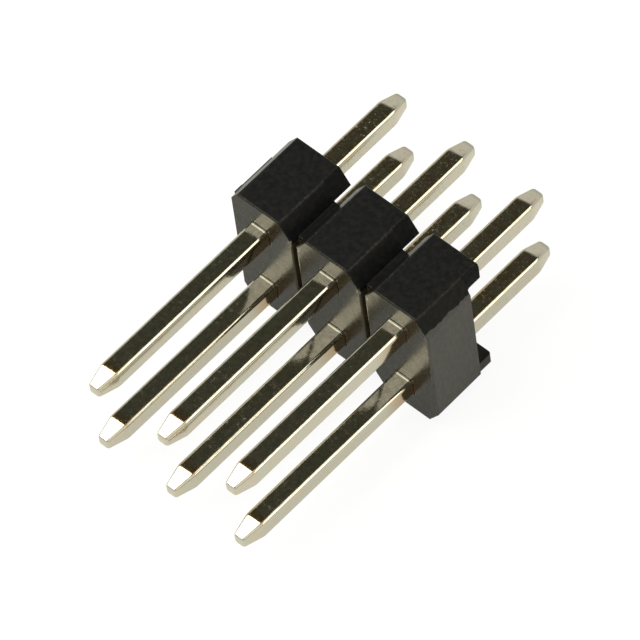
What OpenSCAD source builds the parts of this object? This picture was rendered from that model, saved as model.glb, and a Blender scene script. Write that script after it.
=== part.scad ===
// Straight two-row pin header: a moulded insulator of break-away cells that
// holds square metal pins, each tapered at both ends.
// The header lies on its side. X runs along the columns, Y along the pins
// towards the solder tails, and Z from the lower row to the upper row.
// The origin is on the underside, below the middle of the pin grid.

/* [Pin grid] */
// Distance between neighbouring pins, along and across the header
pitch = 2.54; // [2.3:0.02:3]
// Number of pin columns along the header
columns = 3; // [1:1:10]
// Number of pin rows across the header
rows = 2; // [1:1:3]

/* [Insulator] */
// Thickness along the pins, from the mating face to the seating pads
body_h = 2.47; // [1.8:0.01:3.2]
// Distance from the axis of an outer row to the outside of the insulator
side_margin = 1.14; // [0.95:0.01:1.5]
// Gap between the side walls of two neighbouring cells
cell_gap = 0.18; // [0.08:0.01:0.3]
// Length of the cell's corner bevel along the header
bevel_x = 0.41; // [0.2:0.01:0.6]
// Depth of the cell's corner bevel across the header
bevel_z = 0.59; // [0.3:0.01:0.8]
// Depth of the score line between two cells on the mating face
score_depth = 0.3; // [0.1:0.01:0.6]
// Radius of the insulator's moulded edges along the pins
body_edge_r = 0.08; // [0.02:0.01:0.14]
// Radius of the moulded edges around the mating face and the pads
face_edge_r = 0.04; // [0.02:0.01:0.14]

/* [Seating pads] */
// Height of the pads that hold the insulator off the board
pad_h = 0.68; // [0.3:0.02:1]
// Thickness of a pad across the header
pad_t = 0.56; // [0.35:0.01:0.8]

/* [Broken ends] */
// Length lost from the first cell beside the score line
first_end_cut = 0.15; // [0.01:0.01:0.3]
// Length of the torn web that still stands on the first cell's side
first_stub = 0.02; // [0.005:0.005:0.1]
// Length along the pins of the flake that is left at the front of the torn web
flake_len = 0.3; // [0.05:0.01:0.5]
// Reach of that flake beyond the first cell's side
flake_reach = 0.035; // [0.02:0.005:0.15]
// Length lost from the last cell's pads where the strip was broken
last_pad_cut = 0.23; // [0.05:0.01:0.3]
// Lean of the last cell's broken face, from the mating face to the pads
last_end_lean = 0.06; // [0.01:0.01:0.15]

/* [Pins] */
// Width of the square pin
pin_w = 0.635; // [0.5:0.005:0.75]
// Radius along the pin's four long edges
pin_edge_r = 0.1; // [0.03:0.01:0.12]
// Length of the mating post in front of the insulator
post_len = 6.76; // [3:0.01:12]
// Length of the solder tail behind the seating pads
tail_len = 3.32; // [2:0.01:6]
// Length of the taper at the end of the mating post
post_taper = 0.68; // [0.3:0.02:1]
// Length of the taper at the end of the solder tail
tail_taper = 0.58; // [0.3:0.02:1]
// Width of the pin at the end of the mating post
post_tip_w = 0.37; // [0.24:0.01:0.46]
// Width of the pin at the end of the solder tail
tail_tip_w = 0.34; // [0.24:0.01:0.46]
// Radius of the rounding at the pin's ends
tip_r = 0.09; // [0.03:0.01:0.1]
// Radius that blends the taper into the straight pin
shoulder_r = 0.8; // [0.2:0.05:1]
// Clearance on each side of a pin in its hole
hole_clearance = 0.005; // [0.002:0.001:0.02]
// Width of the gap around a pin at the mouth of its hole
mouth_gap = 0.02; // [0.01:0.005:0.1]
// Depth of the wider mouth of a hole, from the mating face
mouth_depth = 0.05; // [0.03:0.01:0.4]

/* [Hidden] */

// Segments of a small moulded arc, and the overshoot of a cut
arc_steps = 4;
over = 1;

// Widths of one cell and of the whole insulator
cell_w = pitch - cell_gap;
body_w = (rows - 1) * pitch + 2 * side_margin;

// Faces along the pins
mating_y = -body_h / 2;
seat_y = body_h / 2;
web_back_y = seat_y - pad_h;
post_tip_y = mating_y - post_len;
tail_tip_y = seat_y + tail_len;

// Places of the grid
first_x = -(columns - 1) / 2 * pitch;
last_x = -first_x;

function column_x(column) = first_x + column * pitch;
function row_z(row) = side_margin + (rows - 1 - row) * pitch;
function pin_name(row, column) = str("pin_", chr(ord("a") + row), column + 1);

// Outlines with rounded corners, listed counter-clockwise
function unit(v) = v / norm(v);
function turned(v, angle) = [v.x * cos(angle) - v.y * sin(angle), v.x * sin(angle) + v.y * cos(angle)];
function corner_arc(before, corner, after, r) =
    let (
        back = unit(before - corner),
        ahead = unit(after - corner),
        half = acos(back * ahead) / 2,
        centre = corner + unit(back + ahead) * r / sin(half),
        start = corner + back * r / tan(half)
    )
    [for (i = [0 : arc_steps]) centre + turned(start - centre, (180 - 2 * half) * i / arc_steps)];
function rounded(points, radii) = [
    for (i = [0 : len(points) - 1])
        each corner_arc(
            points[(i + len(points) - 1) % len(points)],
            points[i],
            points[(i + 1) % len(points)],
            radii[i]
        )
];

// A cell seen along the pins: a tall rectangle with bevelled corners
function cell_outline() =
    let (
        side = cell_w / 2,
        flat = side - bevel_x
    )
    rounded(
        [
            [-flat, 0],
            [flat, 0],
            [side, bevel_z],
            [side, body_w - bevel_z],
            [flat, body_w],
            [-flat, body_w],
            [-side, body_w - bevel_z],
            [-side, bevel_z]
        ],
        [for (i = [1 : 8]) body_edge_r]
    );

// A pin seen from the side, with its length along the second axis
function pin_outline() =
    let (
        side = pin_w / 2,
        post_tip = post_tip_w / 2,
        tail_tip = tail_tip_w / 2
    )
    rounded(
        [
            [-post_tip, post_tip_y],
            [post_tip, post_tip_y],
            [side, post_tip_y + post_taper],
            [side, tail_tip_y - tail_taper],
            [tail_tip, tail_tip_y],
            [-tail_tip, tail_tip_y],
            [-side, tail_tip_y - tail_taper],
            [-side, post_tip_y + post_taper]
        ],
        [tip_r, tip_r, shoulder_r, shoulder_r, tip_r, tip_r, shoulder_r, shoulder_r]
    );

// Rectangle with true round corners, centred on the first axis and standing on the second
module rounded_rectangle(width, height, r) {
    translate([-width / 2 + r, 0]) square([width - 2 * r, height]);
    translate([-width / 2, r]) square([width, height - 2 * r]);
    for (side = [-1, 1])
        for (level = [r, height - r])
            translate([side * (width / 2 - r), level]) circle(r = r, $fn = 32);
}

// Extrusions along each axis of an outline drawn in the other two
module along_y(from, to) {
    translate([0, to, 0]) rotate([90, 0, 0]) linear_extrude(height = to - from) children();
}

module along_x(width) {
    translate([-width / 2, 0, 0]) rotate([90, 0, 90]) linear_extrude(height = width) children();
}

// One cell of the strip, with soft edges around its two faces
module cell() {
    intersection() {
        along_y(mating_y, seat_y) polygon(cell_outline());
        along_x(cell_w) rounded_rectangle(body_h, body_w, face_edge_r);
        linear_extrude(height = body_w)
            translate([0, mating_y]) rounded_rectangle(cell_w, body_h, face_edge_r);
    }
}

// The wall that joins two cells, behind the score line and below the notches
module web(width, length = web_back_y - mating_y - score_depth) {
    translate([-width / 2, mating_y + score_depth, bevel_z])
        cube([width, length, body_w - 2 * bevel_z]);
}

// What is left of a web on the first cell's side
module torn_web() {
    web(2 * first_stub);
    web(2 * flake_reach, flake_len);
}

// The space between the pads, open along the whole header
module seat_channel() {
    channel_l = columns * pitch + 2 * over;
    translate([-channel_l / 2, web_back_y, pad_t])
        cube([channel_l, pad_h + over, body_w - 2 * pad_t]);
}

// A square hole that grips its pin, with a wider mouth in the mating face
module pin_hole() {
    hole_w = pin_w + 2 * hole_clearance;
    mouth_w = pin_w + 2 * mouth_gap;
    translate([-hole_w / 2, mating_y - over, -hole_w / 2])
        cube([hole_w, body_h + 2 * over, hole_w]);
    translate([-mouth_w / 2, mating_y - over, -mouth_w / 2])
        cube([mouth_w, mouth_depth + over, mouth_w]);
}

// The cut at the first end, as deep as the score line
module first_end() {
    cut_x = first_x - cell_w / 2 + first_end_cut;
    translate([cut_x - pitch, mating_y - over, -over])
        cube([pitch, score_depth + over, body_w + 2 * over]);
}

// The break at the last end: a leaning face that curves in under the pads
module last_end() {
    broken_x = last_x + cell_w / 2;
    pad_root_x = broken_x - last_end_lean;
    pad_end_x = pad_root_x - last_pad_cut;
    outside_x = broken_x + over;
    translate([0, 0, -over])
        linear_extrude(height = body_w + 2 * over) {
            polygon([
                [broken_x, mating_y],
                [outside_x, mating_y],
                [outside_x, seat_y + over],
                [pad_root_x, seat_y + over],
                [pad_root_x, web_back_y]
            ]);
            translate([pad_end_x, web_back_y + last_pad_cut])
                square([outside_x - pad_root_x, pad_h + over]);
            translate([pad_root_x, web_back_y + last_pad_cut]) circle(r = last_pad_cut, $fn = 48);
            translate([pad_end_x - body_edge_r, seat_y - body_edge_r])
                difference() {
                    square(body_edge_r + over);
                    circle(r = body_edge_r, $fn = 32);
                }
        }
}

module insulator() {
    color([0.13, 0.13, 0.13])
        difference() {
            union() {
                difference() {
                    for (column = [0 : columns - 1])
                        translate([column_x(column), 0, 0]) cell();
                    first_end();
                    last_end();
                }
                for (column = [1 : 1 : columns - 1])
                    translate([column_x(column) - pitch / 2, 0, 0]) web(cell_gap + 2 * body_edge_r);
                translate([first_x - cell_w / 2, 0, 0]) torn_web();
            }
            seat_channel();
            for (row = [0 : rows - 1])
                for (column = [0 : columns - 1])
                    translate([column_x(column), 0, row_z(row)]) pin_hole();
        }
}

module pin(row, column) {
    color([0.80, 0.76, 0.66])
        translate([column_x(column), 0, row_z(row)])
            intersection() {
                translate([0, 0, -pin_w / 2])
                    along_y(post_tip_y, tail_tip_y) rounded_rectangle(pin_w, pin_w, pin_edge_r);
                translate([0, 0, -pin_w / 2]) linear_extrude(height = pin_w) polygon(pin_outline());
                rotate([0, 90, 0])
                    translate([0, 0, -pin_w / 2]) linear_extrude(height = pin_w) polygon(pin_outline());
            }
}

insulator();
for (row = [0 : rows - 1])
    for (column = [0 : columns - 1])
        pin(row, column);
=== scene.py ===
"""Looks of a straight two-row pin header: a moulded insulator, plated pins and a studio stage."""
import math

import bmesh
import bpy
from bpy.props import FloatProperty, FloatVectorProperty, PointerProperty
from mathutils import Matrix, Vector


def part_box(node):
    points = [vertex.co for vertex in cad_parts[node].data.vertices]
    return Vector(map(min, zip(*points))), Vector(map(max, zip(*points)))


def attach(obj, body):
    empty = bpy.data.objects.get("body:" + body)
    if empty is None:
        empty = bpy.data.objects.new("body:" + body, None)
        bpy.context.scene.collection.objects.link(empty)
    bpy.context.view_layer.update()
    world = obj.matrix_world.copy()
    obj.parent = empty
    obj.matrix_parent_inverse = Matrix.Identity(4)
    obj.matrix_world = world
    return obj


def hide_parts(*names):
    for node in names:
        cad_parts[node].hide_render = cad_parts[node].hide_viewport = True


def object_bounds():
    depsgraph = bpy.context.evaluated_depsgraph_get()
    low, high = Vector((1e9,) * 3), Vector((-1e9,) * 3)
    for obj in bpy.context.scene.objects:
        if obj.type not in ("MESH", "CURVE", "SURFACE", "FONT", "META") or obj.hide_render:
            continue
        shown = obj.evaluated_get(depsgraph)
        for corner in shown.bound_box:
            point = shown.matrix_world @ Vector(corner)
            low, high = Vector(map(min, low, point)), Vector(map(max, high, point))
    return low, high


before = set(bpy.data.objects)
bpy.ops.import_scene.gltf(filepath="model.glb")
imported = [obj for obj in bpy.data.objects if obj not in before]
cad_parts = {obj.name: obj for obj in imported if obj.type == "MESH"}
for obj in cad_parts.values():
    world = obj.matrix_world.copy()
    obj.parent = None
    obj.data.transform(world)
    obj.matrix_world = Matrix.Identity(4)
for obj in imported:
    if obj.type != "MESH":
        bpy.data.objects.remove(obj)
CAD_BOX = [list(corner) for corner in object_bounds()]

bl_info = {
    "name": "Pin header",
    "version": (1, 0, 0),
    "blender": (4, 5, 0),
    "location": "3D View > Sidebar > Pin header",
    "description": "Dresses a straight two-row pin header and sets it on a studio stage",
    "category": "Object",
}

MM = 0.001
BODY = "root"

# Places worked out from the frame
INSULATOR_LOW, INSULATOR_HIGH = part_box("insulator")
PIN_NODES = sorted(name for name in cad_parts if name.startswith("pin_"))
PIN_LOW, PIN_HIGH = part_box(PIN_NODES[0])
PIN_WIDTH = PIN_HIGH.x - PIN_LOW.x
PITCH = (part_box(PIN_NODES[1])[0] - PIN_LOW).x

# Steps on each round corner of a pin's skin, and the most of its half width that a corner takes up
ARC_STEPS = 6
MOST_ROUND = 0.45

# Samples that soften the insulator's edges
EDGE_SAMPLES = 8

# Softboxes: their sides as shares of their height above the floor, and their radiance
SOFTBOXES = {
    "front_softbox": {"left": -1.9, "right": -0.15, "front": -1.1, "back": 0.1, "radiance": 6.3},
    "back_softbox": {"left": 0.05, "right": 2.4, "front": 0.3, "back": 0.95, "radiance": 2.6},
    "right_softbox": {"left": -0.15, "right": 1.4, "front": -0.55, "back": 0.28, "radiance": 1.0},
}

# Where the room's colours change, as sines of the angle above the floor
SKIRTING_TO_WALL = (0.1, 0.5)
WALL_TO_CEILING = (0.6, 0.74)

# What the eye sees of the floor's glow
WHITE = (1, 1, 1, 1)

# Width of the camera's sensor in millimetres, and the camera's near and far limits in metres
SENSOR_WIDTH = 36
NEAR_LIMIT = 0.01
FAR_LIMIT = 10


def mm_size(name, description, default):
    """A length that a user may change, given in millimetres."""
    return FloatProperty(
        name=name, description=description, default=default * MM, unit="LENGTH", precision=6
    )


def colour(name, description, default):
    """A colour that a user may change."""
    return FloatVectorProperty(
        name=name, description=description, default=default, subtype="COLOR", min=0, max=1
    )


def share(name, description, default):
    """A plain share from 0 to 1 that a user may change."""
    return FloatProperty(
        name=name, description=description, default=default, min=0, max=1, subtype="FACTOR"
    )


def degrees(name, description, default):
    """An angle that a user may change, given in degrees."""
    return FloatProperty(
        name=name, description=description, default=math.radians(default), subtype="ANGLE"
    )


class InsulatorLook(bpy.types.PropertyGroup):
    """Sizes, colours and finish of the moulded insulator."""

    flat_width: mm_size("Flat width", "Width of a cell between its corner bevels", 1.54)
    bevel_depth: mm_size("Bevel depth", "Depth of the corner bevels across the header", 0.59)
    score_depth: mm_size("Score depth", "Depth of the score line on the mating face", 0.3)
    first_cut: mm_size("First cut", "Length cut from the first cell beside the score line", 0.15)
    flake_reach: mm_size("Flake reach", "Reach of the torn flake beyond the first cell's side", 0.035)
    pad_height: mm_size("Pad height", "Height of the seating pads", 0.68)
    mouth_gap: mm_size("Mouth gap", "Gap around a pin at the mouth of its hole", 0.02)

    plastic: colour("Plastic", "Colour of the moulded skin", (0.0038, 0.0041, 0.0049))
    bloom: colour("Bloom", "Colour of the paler clouds in the skin", (0.0076, 0.0078, 0.0085))
    # Warm tint painted on the mating face, standing in for its warm reflections
    face_reflection_tint: colour("Film", "Colour of the mating face under its polish", (0.0045, 0.0042, 0.0003))
    cut: colour("Cut", "Colour of the plastic where the strip was parted", (0.067, 0.065, 0.062))
    cut_shade: share("Cut shade", "Share of that colour in the darker streaks", 0.8)
    # The scuffs are partly wear and partly a painted highlight along the edges
    worn_highlight: colour("Worn", "Colour of the scuffs along the edges", (0.032, 0.031, 0.028))
    scuff_highlight_share: share("Scuffed", "Strength of the scuffs", 0.7)
    scuff_highlight_reach: mm_size("Scuff reach", "Reach of the scuffs from an edge", 0.07)
    # A brown tint given to the score lines below their upper ends
    groove_tint: colour("Dust", "Colour of the dust in the score lines", (0.06, 0.046, 0.026))
    groove_tint_share: share("Dusted", "Strength of the dust", 0.7)
    # Painted highlights, speckled like torn burrs, at the upper ends of the score lines
    burr_highlight: colour("Burr", "Colour of the torn specks at the ends of the score lines", (0.3, 0.29, 0.24))
    # Painted reflections of the pins on the rims of their holes, brownish over and under them and paler
    # beside them
    dim_pin_reflection: colour("Lip", "Colour of the holes' rims over and under the pins", (0.14, 0.095, 0.06))
    pale_pin_reflection: colour("Rim", "Colour of the holes' rims beside the pins", (0.31, 0.28, 0.235))

    roughness: share("Roughness", "Roughness of the moulded skin", 0.31)
    sheen: share("Sheen", "Spread of the roughness over the skin's clouds", 0.16)
    face_roughness: share("Face roughness", "Roughness of the polished mating face", 0.26)
    pad_roughness: share("Pad roughness", "Roughness at the ends of the upper seating pads", 0.95)
    cut_roughness: share("Cut roughness", "Roughness where the strip was parted", 0.72)
    gloss: share("Gloss", "Strength of the reflections", 0.122)
    tint: colour("Tint", "Colour of the reflections", (1.0, 0.97, 0.78))

    soft_edge: mm_size("Soft edge", "Reach of the softening along the moulded edges", 0.06)
    grain: mm_size("Grain", "Depth of the moulded grain", 0.0018)
    grain_polish: share("Grain polish", "Share of the grain that the mating face lacks", 0.75)
    ripple: mm_size("Ripple", "Depth of the slow ripples in the moulded faces", 0.012)
    ripple_polish: share("Ripple polish", "Share of the ripples that the mating face lacks", 0.4)
    streak: mm_size("Streak", "Depth of the streaks where the strip was parted", 0.0036)
    tear: mm_size("Tear", "Reach of the broken face round the last cell's corner", 0.084)
    tear_swing: mm_size("Tear swing", "Spread of the torn edges to and fro", 0.144)


class PinLook(bpy.types.PropertyGroup):
    """Sizes, colours and finish of the plated pins."""

    edge_radius: mm_size("Edge radius", "Radius along the pin's long edges", 0.1)
    post_tip_width: mm_size("Post tip width", "Width of the pin at the end of the mating post", 0.37)
    tail_tip_width: mm_size("Tail tip width", "Width of the pin at the end of the solder tail", 0.39)
    tip_radius: mm_size("Tip radius", "Rounding of the post's end", 0.09)
    tail_tip_radius: mm_size("Tail tip radius", "Rounding of the tail's end", 0.14)
    shoulder_radius: mm_size("Shoulder radius", "Blend of a taper into the straight pin", 0.8)
    post_taper: mm_size("Post taper", "Length of the taper on the mating post", 0.68)
    tail_taper: mm_size("Tail taper", "Length of the taper on the solder tail", 0.61)

    plating: colour("Plating", "Colour of the bright plating", (0.535, 0.522, 0.43))
    flush: colour("Flush", "Colour of the warmer clouds in the plating", (0.56, 0.508, 0.412))
    sheared: colour("Sheared", "Colour of the tail's sheared end and of the smudges", (0.4, 0.4, 0.33))
    smudged: share("Smudged", "Strength of the smudges on the post's upper face", 0.9)
    # This colour also paints shade on the sides by the post's root, and a brown band on the upper face
    # behind the post's taper
    tarnish_and_shade: colour("Tarnish", "Colour of the tarnish, the pits and the stains", (0.42, 0.26, 0.1))
    shoulder_brown: share("Shoulder tarnish", "Strength of the tarnish by the post's shoulder", 0.6)
    root_tarnish_and_shade: share("Root tarnish", "Strength of the tarnish on the sides by the post's root", 0.75)
    pit_tarnish: share("Pit tarnish", "Strength of the tarnish in the pits", 0.35)
    stain_tarnish: share("Stain tarnish", "Strength of the stains on the tail's upper face", 0.5)

    roughness: share("Roughness", "Roughness of the bright plating", 0.1)
    drawn_roughness: share("Drawn roughness", "Spread of the roughness over the drawing marks", 0.04)
    pit_roughness: share("Pit roughness", "Roughness of the dull pits", 0.26)
    mark_roughness: share("Mark roughness", "Roughness that the dull marks add", 0.22)
    post_pits: share("Post pits", "Share of the pits away from the tail's faces", 0.4)
    post_marks: share("Post marks", "Share of the dull marks on the post", 0.5)
    thin_marks: share("Thin marks", "Share of the dull marks where they are thin", 0.3)

    ripple: mm_size("Ripple", "Depth of the slow ripples in the pressed faces", 0.0045)
    collar: mm_size("Collar", "Height of the metal scraped up where the pin was pressed in", 0.0055)
    fine_relief: share("Fine relief", "Depth of the fine relief, as a share of the ripples", 0.2)
    marked_relief: share("Marked relief", "What the dull marks add to that share", 0.15)
    drawn_share: share("Drawn share", "Share of the drawing marks in the fine relief", 0.4)


class StageLook(bpy.types.PropertyGroup):
    """Floor, lamps, room and camera."""

    floor: colour("Floor", "Colour of the floor", (0.95, 0.95, 0.95))
    floor_reach: mm_size("Floor reach", "Distance from the floor's middle to its sides", 1500)
    floor_gap: mm_size("Floor gap", "Gap between the floor and the header", 0.01)
    white: share("White", "Share of plain white in what the eye sees of the floor", 0.9)
    mirrored: share("Mirrored", "Share of plain white in what bright metal sees of the floor", 0.8)
    warmth: colour("Warmth", "Colour of the floor's white as bright metal sees it", (0.885, 0.885, 0.815))
    skirting: colour("Skirting", "Colour of the walls low down", (0.74, 0.73, 0.68))
    wall: colour("Wall", "Colour of the pale walls higher up", (0.84, 0.835, 0.78))
    ceiling: colour("Ceiling", "Colour of the dark ceiling over the stage", (0.06, 0.0605, 0.0425))
    lamp: colour("Lamp", "Colour of the softboxes", (1.0, 0.965, 0.85))
    lamp_height: mm_size("Lamp height", "Height of the softboxes above the floor", 120)
    azimuth: degrees("Azimuth", "Turn of the camera round the header", 49.573)
    elevation: degrees("Elevation", "Height of the camera above the floor", 55.273)
    roll: degrees("Roll", "Roll of the camera", -8.604)
    distance: mm_size("Distance", "Distance from the camera to the point it aims at", 336.8)
    focal_length: FloatProperty(
        name="Focal length", description="Focal length of the lens", default=690.2, unit="CAMERA"
    )
    aim: FloatVectorProperty(
        name="Aim",
        description="Point that the camera aims at",
        default=[value * MM for value in (-0.293, -1.527, 1.845)],
        subtype="TRANSLATION",
        precision=6,
    )


class Shade:
    """A socket in a material: arithmetic on it adds the nodes that work it out."""

    def __init__(self, tree, socket=None):
        self.tree = tree
        self.socket = socket

    def add(self, kind, settings=None, inputs=None, output=0):
        """Add a node, set it up, fill or link its sockets and return one of its outputs."""
        node = self.tree.nodes.new(kind)
        for name, value in (settings or {}).items():
            setattr(node, name, value)
        for name, value in (inputs or {}).items():
            if isinstance(value, Shade):
                self.tree.links.new(value.socket, node.inputs[name])
            else:
                node.inputs[name].default_value = value
        return Shade(self.tree, node.outputs[output] if node.outputs else None)

    def maths(self, operation, *values):
        """A Math node on these values."""
        return self.add("ShaderNodeMath", {"operation": operation}, dict(enumerate(values)))

    def __add__(self, other):
        return self.maths("ADD", self, other)

    __radd__ = __add__

    def __sub__(self, other):
        return self.maths("SUBTRACT", self, other)

    def __rsub__(self, other):
        return self.maths("SUBTRACT", other, self)

    def __mul__(self, other):
        return self.maths("MULTIPLY", self, other)

    __rmul__ = __mul__

    def __abs__(self):
        return self.maths("ABSOLUTE", self)

    def largest(self, other):
        """The larger of two values."""
        return self.maths("MAXIMUM", self, other)

    def at_least(self, floor):
        """This share, raised so that 0 becomes the floor and 1 stays 1."""
        return self * (1 - floor) + floor

    def swing(self, size):
        """This value from 0 to 1, as a swing of this size about 0."""
        return (self - 0.5) * size

    def from_grid(self, step):
        """The distance to the nearest multiple of a step."""
        return self.maths("PINGPONG", self, step / 2)

    def ramp(self, low, high):
        """0 below low, 1 above high and a smooth rise between them; low may exceed high."""
        return self.add(
            "ShaderNodeMapRange",
            {"interpolation_type": "SMOOTHSTEP"},
            {"Value": self, "From Min": low, "From Max": high},
        )

    def after(self, edge, soft):
        """1 after this edge, and 0 from a soft stretch before it."""
        return self.ramp(edge - soft, edge)

    def before(self, edge, soft):
        """1 before this edge, and 0 from a soft stretch after it."""
        return self.ramp(edge + soft, edge)

    def mix(self, first, second):
        """The colour that goes from first to second as this value goes from 0 to 1."""
        return self.add("ShaderNodeMix", {"data_type": "RGBA"}, {0: self, 6: first, 7: second}, output=2)

    def stretch(self, x, y, z):
        """This vector times a factor along each axis."""
        return self.add("ShaderNodeVectorMath", {"operation": "MULTIPLY"}, {0: self, 1: (x, y, z)})

    def part(self, axis):
        """One component of this vector."""
        return self.add("ShaderNodeSeparateXYZ", None, {0: self}, output=axis)

    def towards(self, axis, least, most):
        """How far this normal points along an axis: 0 at the least component and 1 at the most."""
        return self.part(axis).ramp(least, most)

    def noise(self, scale, detail, roughness):
        """Smooth noise from 0 to 1 at this place, with so many waves to a millimetre."""
        return self.add(
            "ShaderNodeTexNoise",
            None,
            {"Vector": self, "Scale": scale, "Detail": detail, "Roughness": roughness},
        )

    def patches(self, low, high, **texture):
        """Patches of noise at this place: 0 where the noise is under low and 1 where it is over high."""
        return self.noise(**texture).ramp(low, high)

    def bump(self, depth, **inputs):
        """A normal bent by this height, which spans so many metres from 0 to 1."""
        inputs.update({"Height": self, "Distance": depth, "Strength": 1.0})
        return self.add("ShaderNodeBump", None, inputs)


def opaque(value):
    """A colour with full alpha."""
    return (*value, 1.0)


def new_material(name):
    """An empty material and the start of its node tree."""
    material = bpy.data.materials.new(name)
    material.use_nodes = True
    material.node_tree.nodes.clear()
    return material, Shade(material.node_tree)


def place_in_mm(start):
    """The place on the part in millimetres."""
    return start.add("ShaderNodeTexCoord", None, None, output="Object").stretch(1 / MM, 1 / MM, 1 / MM)


def surface_normal(start):
    """The way that the surface faces."""
    return start.add("ShaderNodeNewGeometry", None, None, output="Normal")


def principled(start, values):
    """Close a material with a principled surface."""
    surface = start.add("ShaderNodeBsdfPrincipled", None, values)
    start.add("ShaderNodeOutputMaterial", None, {"Surface": surface})


# Places, reaches and soft stretches within the materials are in millimetres


def web_span(look):
    """The front and the back of the webs between the cells, along the pins in millimetres."""
    return (INSULATOR_LOW.y + look.score_depth) / MM, (INSULATOR_HIGH.y - look.pad_height) / MM


def parted_faces(look, place, facing):
    """1 on the faces where the header was parted from its strip, and 0 elsewhere."""
    x = place.part("X")
    y = place.part("Y")
    wander = place.noise(scale=3.2, detail=4.0, roughness=0.6).swing(look.tear_swing / MM)

    # The broken face at the last end, with a torn edge
    last = (x + wander).after((INSULATOR_HIGH.x - look.tear) / MM, soft=0.012)

    # The cut beside the score line at the first end, and the torn web behind it
    just_inside = 0.01
    first_side = (INSULATOR_LOW.x + look.flake_reach) / MM
    cut_x = first_side + look.first_cut / MM
    web_front, web_back = web_span(look)
    cut = x.before(cut_x + just_inside, soft=0.02) * y.before(web_front, soft=0.03)
    along_web = (y + wander).after(web_front, soft=0.04) * (y + wander).before(web_back, soft=0.04)
    outward = facing.towards("X", least=-0.5, most=-0.9)
    web = x.before(first_side + just_inside, soft=0.01) * along_web * outward
    return last.largest(cut).largest(web)


def moulded_skin(look, place, mottle, polished):
    """Colour of the moulded skin, with a warm tint painted on the mating face for its reflections, scuffs
    with painted highlights, a brown tint in the score lines, painted highlights speckled like burrs and
    painted reflections on the rims of the holes.
    """
    x = place.part("X")
    y = place.part("Y")
    z = place.part("Z")
    pitch = PITCH / MM
    aside = x.from_grid(pitch)
    mating = abs(y - INSULATOR_LOW.y / MM)
    skin = mottle.ramp(low=0.36, high=0.68).mix(opaque(look.plastic), opaque(look.bloom))
    # A warm tint painted over the mating face, standing in for its warm reflections
    skin = polished.mix(skin, opaque(look.face_reflection_tint))

    # Scuffs with a painted highlight: a lighter, speckled colour along the edges of the cells' flats and
    # of the mating face
    scuff_highlight_reach = look.scuff_highlight_reach / MM
    crease = abs(aside - look.flat_width / MM / 2)
    edge = crease.before(0, soft=scuff_highlight_reach).largest(mating.before(0, soft=scuff_highlight_reach))
    scuff_highlights = edge * place.patches(scale=13.0, detail=3.0, roughness=0.6, low=0.52, high=0.66)
    skin = (scuff_highlights * look.scuff_highlight_share).mix(skin, opaque(look.worn_highlight))

    # A brown tint in the score lines between the cells, below their upper ends
    score_half = 0.1
    tint_top = 0.15
    web_front, _ = web_span(look)
    web_top = (INSULATOR_HIGH.z - look.bevel_depth) / MM
    groove = aside.after(pitch / 2 - score_half, soft=0.04) * y.before(web_front, soft=0.01)
    groove_lower = groove * z.before(web_top - tint_top, soft=0.12)
    skin = (groove_lower * look.groove_tint_share).mix(skin, opaque(look.groove_tint))

    # Painted highlights, speckled like torn burrs, on the mating face about the upper ends of the score
    # lines
    speck_half = 0.14
    speck_drop = 0.06
    speck_height = 0.04
    speck_depth = 0.03
    burr_highlight_zone = aside.after(pitch / 2 - speck_half, soft=0.12) * mating.before(speck_depth, soft=0.03)
    burr_highlight_zone = burr_highlight_zone * abs(z - (web_top - speck_drop)).before(speck_height, soft=0.12)
    burr_highlights = burr_highlight_zone * place.patches(scale=16.0, detail=3.0, roughness=0.6, low=0.48, high=0.6)
    skin = burr_highlights.mix(skin, opaque(look.burr_highlight))

    # Painted reflections on the rims of the pin holes: brownish over and under the pins, paler beside
    # them
    lip_depth = 0.08
    side = PIN_WIDTH / 2 / MM
    mouth = side + look.mouth_gap / MM
    level = (z - (PIN_LOW.z + PIN_HIGH.z) / 2 / MM).from_grid(pitch)
    pin_reflection_rims = aside.largest(level).before(mouth, soft=0.01) * mating.before(lip_depth, soft=0.04)
    pin_reflections = aside.after(side, soft=0.01).mix(opaque(look.dim_pin_reflection), opaque(look.pale_pin_reflection))
    return pin_reflection_rims.mix(skin, pin_reflections)


def upper_pad_ends(look, place, facing):
    """1 on the ends of the upper seating pads that face the last end, and 0 elsewhere."""
    _, web_back = web_span(look)
    fillet = 0.08
    middle = (INSULATOR_LOW.z + INSULATOR_HIGH.z) / 2 / MM
    behind = place.part("Y").after(web_back + fillet, soft=fillet)
    above = place.part("Z").after(middle, soft=0.1)
    return facing.towards("X", least=0.2, most=0.6) * behind * above


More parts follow.
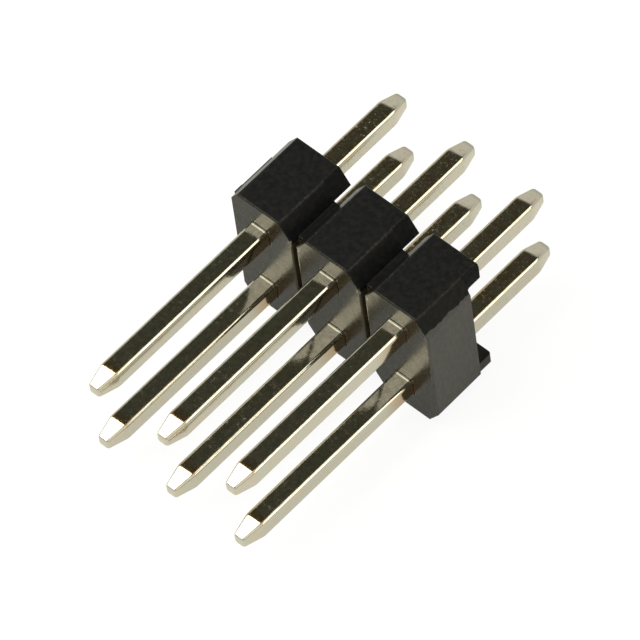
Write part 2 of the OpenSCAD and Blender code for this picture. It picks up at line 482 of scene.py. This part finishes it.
def moulded_plastic(look):
    """Black moulded plastic with soft edges, grey and rough where the strip was parted."""
    material, start = new_material("moulded_plastic")
    place = place_in_mm(start)
    facing = surface_normal(start)
    parted = parted_faces(look, place, facing)
    polished = facing.towards("Y", least=-0.7, most=-0.95) * (1 - parted)

    # Clouds, grain and ripples of the moulded skin, streaks of the parted faces
    mottle = place.noise(scale=6.0, detail=5.0, roughness=0.68)
    grain = place.noise(scale=20.0, detail=3.0, roughness=0.6)
    ripples = place.noise(scale=2.5, detail=2.0, roughness=0.5)
    streaks = place.stretch(x=1.0, y=1.2, z=0.6).noise(scale=8.0, detail=5.0, roughness=0.65)

    skin = moulded_skin(look, place, mottle, polished)
    dark_cut = [look.cut_shade * value for value in look.cut]
    raw = streaks.ramp(low=0.3, high=0.75).mix(opaque(dark_cut), opaque(look.cut))

    finishes = (
        (polished, look.face_roughness),
        (upper_pad_ends(look, place, facing), look.pad_roughness),
        (parted, look.cut_roughness),
    )
    roughness = look.roughness + mottle.swing(look.sheen)
    for mask, finish in finishes:
        roughness = roughness + mask * (finish - look.roughness)

    fine = grain * (1 - look.grain_polish * polished)
    slow = ripples * (1 - look.ripple_polish * polished) * (look.ripple / look.grain)
    height = (fine + slow) * (1 - parted) + streaks * parted * (look.streak / look.grain)
    soft = start.add("ShaderNodeBevel", {"samples": EDGE_SAMPLES}, {"Radius": look.soft_edge})
    principled(start, {
        "Base Color": parted.mix(skin, raw),
        "Roughness": roughness,
        "IOR": 1.5,
        "Specular IOR Level": look.gloss,
        "Specular Tint": opaque(look.tint),
        "Normal": height.bump(look.grain, Normal=soft),
    })
    return material


def plated_metal(look):
    """Bright pale plating with drawing marks, pits, smudges, stains, a brown band behind the post's taper
    and tarnish with painted shade by the post's root, and a sheared tail end.
    """
    material, start = new_material("plated_metal")
    place = place_in_mm(start)
    y = place.part("Y")
    facing = surface_normal(start)
    upper = facing.towards("Z", least=0.7, most=0.95)
    sides = abs(facing.part("X")).ramp(low=0.8, high=0.97)

    # Stretches along the pin
    blur = 0.1
    root = INSULATOR_LOW.y / MM
    post_shoulder = (PIN_LOW.y + look.post_taper) / MM
    tail_shoulder = (PIN_HIGH.y - look.tail_taper) / MM
    tail_end = PIN_HIGH.y / MM
    tail_share = y.ramp(root, INSULATOR_HIGH.y / MM)
    straight_post = y.after(post_shoulder + blur, soft=blur) * (1 - tail_share)
    straight_tail = y.before(tail_shoulder - blur, soft=blur) * tail_share

    # Clouds and ripples of the plating, marks drawn out along the pin, and pits
    clouds = place.patches(scale=2.6, detail=3.0, roughness=0.55, low=0.35, high=0.65)
    ripples = place.noise(scale=2.2, detail=2.0, roughness=0.5)
    drawn = place.stretch(x=1.0, y=0.06, z=1.0).noise(scale=22.0, detail=3.0, roughness=0.6)
    speckle = place.noise(scale=12.0, detail=4.0, roughness=0.7)
    pits = speckle.ramp(low=0.5, high=0.72) * (tail_share * upper.largest(sides)).at_least(look.post_pits)

    # Dull marks in patches, smudges on the post and stains on the tail
    spread = place.patches(scale=0.6, detail=2.0, roughness=0.5, low=0.4, high=0.6)
    marked = straight_tail.largest(straight_post * look.post_marks) * spread.at_least(look.thin_marks)
    marks = marked * place.patches(scale=7.0, detail=5.0, roughness=0.75, low=0.53, high=0.68)
    smudges = straight_post * place.patches(scale=5.5, detail=5.0, roughness=0.7, low=0.42, high=0.62)
    stains = straight_tail * place.patches(scale=4.0, detail=4.0, roughness=0.7, low=0.4, high=0.6)

    # A brown band on the upper face just behind the post's taper, and tarnish with painted shade on the
    # sides by the post's root, next to the dark mating face
    shoulder_band_end = post_shoulder + 0.05
    root_band_start = root - 0.3
    behind_taper = y.after(post_shoulder, soft=0.15) * y.before(shoulder_band_end, soft=0.35)
    by_root = y.after(root_band_start, soft=1.0) * y.before(root, soft=0.2)
    by_shoulder = upper * behind_taper * look.shoulder_brown
    tarnish_and_shade = by_shoulder.largest(sides * by_root * look.root_tarnish_and_shade)

    # Metal scraped up at the root, and the dull sheared end of the tail
    collar_top = root - 0.05
    sheared_from = tail_end - 0.04
    collar = y.after(collar_top, soft=0.06) * upper * (look.collar / look.ripple)
    sheared = y.after(sheared_from, soft=0.16)

    bright = clouds.mix(opaque(look.plating), opaque(look.flush))
    smudged = (upper * smudges * look.smudged).mix(bright, opaque(look.sheared))
    stains_and_shade = tarnish_and_shade.largest(pits * look.pit_tarnish).largest(upper * stains * look.stain_tarnish)
    stained_and_shaded = stains_and_shade.mix(smudged, opaque(look.tarnish_and_shade))
    dull = pits * (look.pit_roughness - look.roughness) + upper * marks * look.mark_roughness
    fine = drawn * look.drawn_share + speckle * (1 - look.drawn_share)
    relief = ripples + fine * (upper * marked * look.marked_relief + look.fine_relief)
    principled(start, {
        "Base Color": sheared.mix(stained_and_shaded, opaque(look.sheared)),
        "Metallic": 1.0,
        "Roughness": look.roughness + drawn.swing(look.drawn_roughness) + dull,
        "Normal": (relief + collar).bump(look.ripple),
    })
    return material


def paint(piece, material):
    """Give a piece this material alone."""
    piece.data.materials.clear()
    piece.data.materials.append(material)


def rounded_corner(before, corner, after, radius):
    """Points of the arc that rounds a corner of an outline."""
    back = (before - corner).normalized()
    ahead = (after - corner).normalized()
    half = back.angle(ahead) / 2
    centre = corner + (back + ahead).normalized() * (radius / math.sin(half))
    spoke = corner + back * (radius / math.tan(half)) - centre
    turn = math.copysign(math.pi - 2 * half, back.cross(ahead))
    return [centre + Matrix.Rotation(-turn * i / ARC_STEPS, 2) @ spoke for i in range(ARC_STEPS + 1)]


def pin_profile(look):
    """Half the pin's outline as (place along the pin, half width), from the post's end to the tail's."""
    side = PIN_WIDTH / 2
    corners = [
        Vector((PIN_LOW.y, 0)),
        Vector((PIN_LOW.y, look.post_tip_width / 2)),
        Vector((PIN_LOW.y + look.post_taper, side)),
        Vector((PIN_HIGH.y - look.tail_taper, side)),
        Vector((PIN_HIGH.y, look.tail_tip_width / 2)),
        Vector((PIN_HIGH.y, 0)),
    ]
    radii = [look.tip_radius, look.shoulder_radius, look.shoulder_radius, look.tail_tip_radius]
    points = []
    for i, radius in enumerate(radii):
        points += rounded_corner(corners[i], corners[i + 1], corners[i + 2], radius)
    return points


def pin_section(half, radius):
    """A square section with round corners, as points across the pin."""
    inner = half - radius
    points = []
    for quarter in range(4):
        centre = Matrix.Rotation(quarter * math.pi / 2, 2) @ Vector((inner, inner))
        for i in range(ARC_STEPS + 1):
            angle = (quarter + i / ARC_STEPS) * math.pi / 2
            points.append(centre + radius * Vector((math.cos(angle), math.sin(angle))))
    return points


def pin_mesh(look):
    """The pin's skin, lofted through its sections, about the pin's own axis."""
    mesh = bmesh.new()
    rings = []
    for along, half in pin_profile(look):
        radius = min(look.edge_radius, MOST_ROUND * half)
        rings.append([mesh.verts.new((p.x, along, p.y)) for p in pin_section(half, radius)])
    for ring, following in zip(rings, rings[1:]):
        for i, vertex in enumerate(ring):
            after = (i + 1) % len(ring)
            mesh.faces.new((vertex, following[i], following[after], ring[after]))
    mesh.faces.new(rings[0])
    mesh.faces.new(rings[-1][::-1])
    bmesh.ops.recalc_face_normals(mesh, faces=mesh.faces)
    for face in mesh.faces:
        face.smooth = True
    data = bpy.data.meshes.new("pin")
    mesh.to_mesh(data)
    mesh.free()
    return data


class HEADER_OT_insulator(bpy.types.Operator):
    """Give the insulator its moulded skin and its parted ends"""

    bl_idname = "header.insulator"
    bl_label = "Insulator"

    def execute(self, context):
        paint(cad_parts["insulator"], moulded_plastic(context.scene.header_insulator))
        return {"FINISHED"}


class HEADER_OT_pins(bpy.types.Operator):
    """Put a plated skin with round edges in the place of each pin"""

    bl_idname = "header.pins"
    bl_label = "Pins"

    def execute(self, context):
        look = context.scene.header_pins
        metal = plated_metal(look)
        for node in PIN_NODES:
            low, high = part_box(node)
            middle = (low + high) / 2
            mesh = pin_mesh(look)
            mesh.transform(Matrix.Translation((middle.x, 0, middle.z)))
            piece = bpy.data.objects.new("plated_" + node, mesh)
            context.scene.collection.objects.link(piece)
            paint(piece, metal)
            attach(piece, BODY)
            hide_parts(node)
        return {"FINISHED"}


def floor_material(look):
    """A pale floor that looks white and keeps the header's shadow."""
    material, start = new_material("floor")
    camera_ray, glossy_ray, transmission_ray = (
        start.add("ShaderNodeLightPath", None, None, output=name)
        for name in ("Is Camera Ray", "Is Glossy Ray", "Is Transmission Ray")
    )
    seen = (camera_ray * look.white).largest(glossy_ray.largest(transmission_ray) * look.mirrored)
    matte = start.add("ShaderNodeBsdfDiffuse", None, {"Color": opaque(look.floor)})
    glow = camera_ray.mix(opaque(look.warmth), WHITE)
    white = start.add("ShaderNodeEmission", None, {"Color": glow, "Strength": 1.0})
    surface = start.add("ShaderNodeMixShader", None, {0: seen, 1: matte, 2: white})
    start.add("ShaderNodeOutputMaterial", None, {"Surface": surface})
    return material


def make_floor(look):
    """A wide plain floor just under the header."""
    reach = look.floor_reach
    level = CAD_BOX[0][2] - look.floor_gap
    corners = [
        (-reach, -reach, level),
        (reach, -reach, level),
        (reach, reach, level),
        (-reach, reach, level),
    ]
    mesh = bpy.data.meshes.new("floor")
    mesh.from_pydata(corners, [], [(0, 1, 2, 3)])
    floor = bpy.data.objects.new("floor", mesh)
    bpy.context.scene.collection.objects.link(floor)
    paint(floor, floor_material(look))


def make_room(look):
    """The room round the stage: pale walls below a dark ceiling."""
    world = bpy.data.worlds.new("room")
    world.use_nodes = True
    world.node_tree.nodes.clear()
    start = Shade(world.node_tree)
    height = start.add("ShaderNodeTexCoord", None, None, output="Generated").part("Z")
    walls = height.ramp(*SKIRTING_TO_WALL).mix(opaque(look.skirting), opaque(look.wall))
    shell = height.ramp(*WALL_TO_CEILING).mix(walls, opaque(look.ceiling))
    glow = start.add("ShaderNodeBackground", None, {"Color": shell, "Strength": 1.0})
    start.add("ShaderNodeOutputWorld", None, {"Surface": glow})
    bpy.context.scene.world = world


def softbox(look, name, left, right, front, back, radiance):
    """A flat lamp that hangs overhead, with its sides as shares of its height."""
    level = look.lamp_height
    width = (right - left) * level
    depth = (back - front) * level
    lamp = bpy.data.lights.new(name, "AREA")
    lamp.shape = "RECTANGLE"
    lamp.size = width
    lamp.size_y = depth
    lamp.color = look.lamp
    lamp.energy = radiance * math.pi * width * depth
    holder = bpy.data.objects.new(name, lamp)
    holder.location = ((left + right) / 2 * level, (front + back) / 2 * level, level)
    holder.visible_camera = False
    bpy.context.scene.collection.objects.link(holder)


def make_camera(look):
    """The camera at the angle from which the header is seen."""
    back = Vector((
        math.sin(look.azimuth) * math.cos(look.elevation),
        -math.cos(look.azimuth) * math.cos(look.elevation),
        math.sin(look.elevation),
    ))
    level = Vector((math.cos(look.azimuth), math.sin(look.azimuth), 0))
    right = Matrix.Rotation(look.roll, 3, back) @ level
    up = back.cross(right)
    lens = bpy.data.cameras.new("camera")
    lens.lens = look.focal_length
    lens.sensor_width = SENSOR_WIDTH
    lens.clip_start = NEAR_LIMIT
    lens.clip_end = FAR_LIMIT
    camera = bpy.data.objects.new("camera", lens)
    turn = Matrix((right, up, back)).transposed().to_4x4()
    camera.matrix_world = Matrix.Translation(Vector(look.aim) + back * look.distance) @ turn
    bpy.context.scene.collection.objects.link(camera)
    bpy.context.scene.camera = camera


class HEADER_OT_stage(bpy.types.Operator):
    """Set up the floor, the softboxes, the room and the camera"""

    bl_idname = "header.stage"
    bl_label = "Stage"

    def execute(self, context):
        look = context.scene.header_stage
        make_floor(look)
        make_room(look)
        for name, lamp in SOFTBOXES.items():
            softbox(look, name, **lamp)
        make_camera(look)
        context.scene.view_settings.view_transform = "Standard"
        return {"FINISHED"}


class HEADER_PT_panel(bpy.types.Panel):
    """Steps that dress the header"""

    bl_idname = "HEADER_PT_panel"
    bl_label = "Pin header"
    bl_space_type = "VIEW_3D"
    bl_region_type = "UI"
    bl_category = "Pin header"

    def draw(self, context):
        for operator in OPERATORS:
            self.layout.operator(operator.bl_idname)


LOOKS = {
    "header_insulator": InsulatorLook,
    "header_pins": PinLook,
    "header_stage": StageLook,
}
OPERATORS = (HEADER_OT_insulator, HEADER_OT_pins, HEADER_OT_stage)
CLASSES = (*LOOKS.values(), *OPERATORS, HEADER_PT_panel)


def register():
    """Make the classes known, and hang the looks on the scene."""
    for each in CLASSES:
        bpy.utils.register_class(each)
    for name, look in LOOKS.items():
        setattr(bpy.types.Scene, name, PointerProperty(type=look))


def unregister():
    """Undo what register did."""
    for name in LOOKS:
        delattr(bpy.types.Scene, name)
    for each in reversed(CLASSES):
        bpy.utils.unregister_class(each)


def main():
    """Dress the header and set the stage."""
    register()
    bpy.ops.header.insulator()
    bpy.ops.header.pins()
    bpy.ops.header.stage()


if __name__ == "__main__":
    main()
